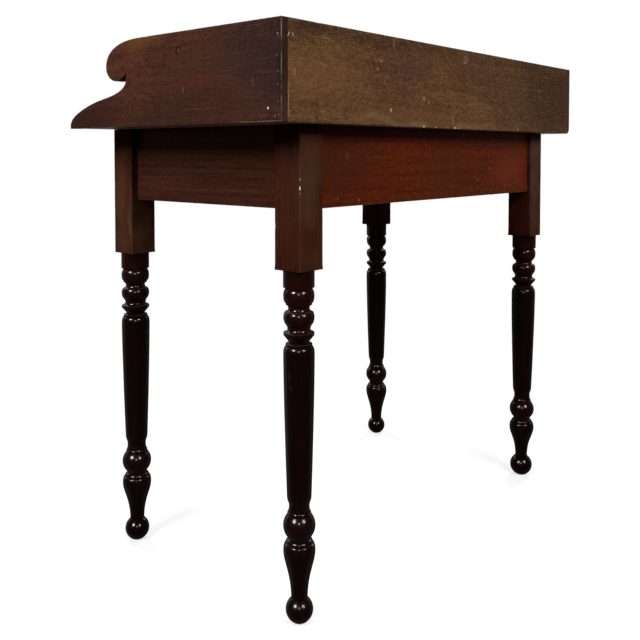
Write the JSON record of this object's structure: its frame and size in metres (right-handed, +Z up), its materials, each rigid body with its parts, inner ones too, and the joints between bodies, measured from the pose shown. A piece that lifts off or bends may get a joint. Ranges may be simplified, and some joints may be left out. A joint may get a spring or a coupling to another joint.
{
  "type": "writing table",
  "caption": "Free-standing writing table with turned legs, a wide frieze drawer and a scroll-ended gallery round the sides and back of its top.",
  "frame": {"origin": "on the floor under the middle of the top's outline", "axes": "+X to the right of a person sitting at the table, +Y to the back, +Z up; the drawer opens towards -Y"},
  "size_m": [0.914, 0.498, 0.8735],
  "materials": {
    "turned_leg_wood": "dark stained and varnished, semi-gloss",
    "gallery_side_wood": "dark red-brown, worn satin varnish",
    "gallery_back_wood": "brown, rubbed satin varnish",
    "apron_wood": "red-brown stain, satin",
    "bare_pine": "bare, aged",
    "screw_iron": "dark oxidised iron"
  },
  "bodies": {
    "table_frame": {"leg_front_left": "turned_leg_wood", "leg_front_right": "turned_leg_wood", "leg_back_left": "turned_leg_wood", "leg_back_right": "turned_leg_wood", "side_apron_left": "apron_wood", "side_apron_right": "apron_wood", "back_apron": "apron_wood", "drawer_rail": "apron_wood", "top_rail": "apron_wood", "drawer_runner_left": "bare_pine", "drawer_runner_right": "bare_pine", "drawer_guide_left": "bare_pine", "drawer_guide_right": "bare_pine", "drawer_kicker_left": "bare_pine", "drawer_kicker_right": "bare_pine", "drawer_stop_left": "bare_pine", "drawer_stop_right": "bare_pine", "glue_block_left": "bare_pine", "glue_block_middle": "bare_pine", "glue_block_right": "bare_pine", "top_screw_rail_left": "screw_iron", "top_screw_rail_right": "screw_iron", "top_screw_front_left": "screw_iron", "top_screw_front_right": "screw_iron", "top_screw_back_left": "screw_iron", "top_screw_back_right": "screw_iron", "writing_top": "gallery_side_wood", "gallery_side_left": "gallery_side_wood", "gallery_side_right": "gallery_side_wood", "gallery_back": "gallery_back_wood"},
    "drawer": {"drawer_front": "apron_wood", "drawer_side_left": "bare_pine", "drawer_side_right": "bare_pine", "drawer_back": "bare_pine", "drawer_bottom": "bare_pine", "drawer_knob_left": "turned_leg_wood", "drawer_knob_right": "turned_leg_wood"}
  },
  "joints": [
    {"name": "drawer_slide", "type": "slide", "parent": "table_frame", "child": "drawer", "axis": [0, -1, 0], "range_m": [0, 0.28]}
  ]
}
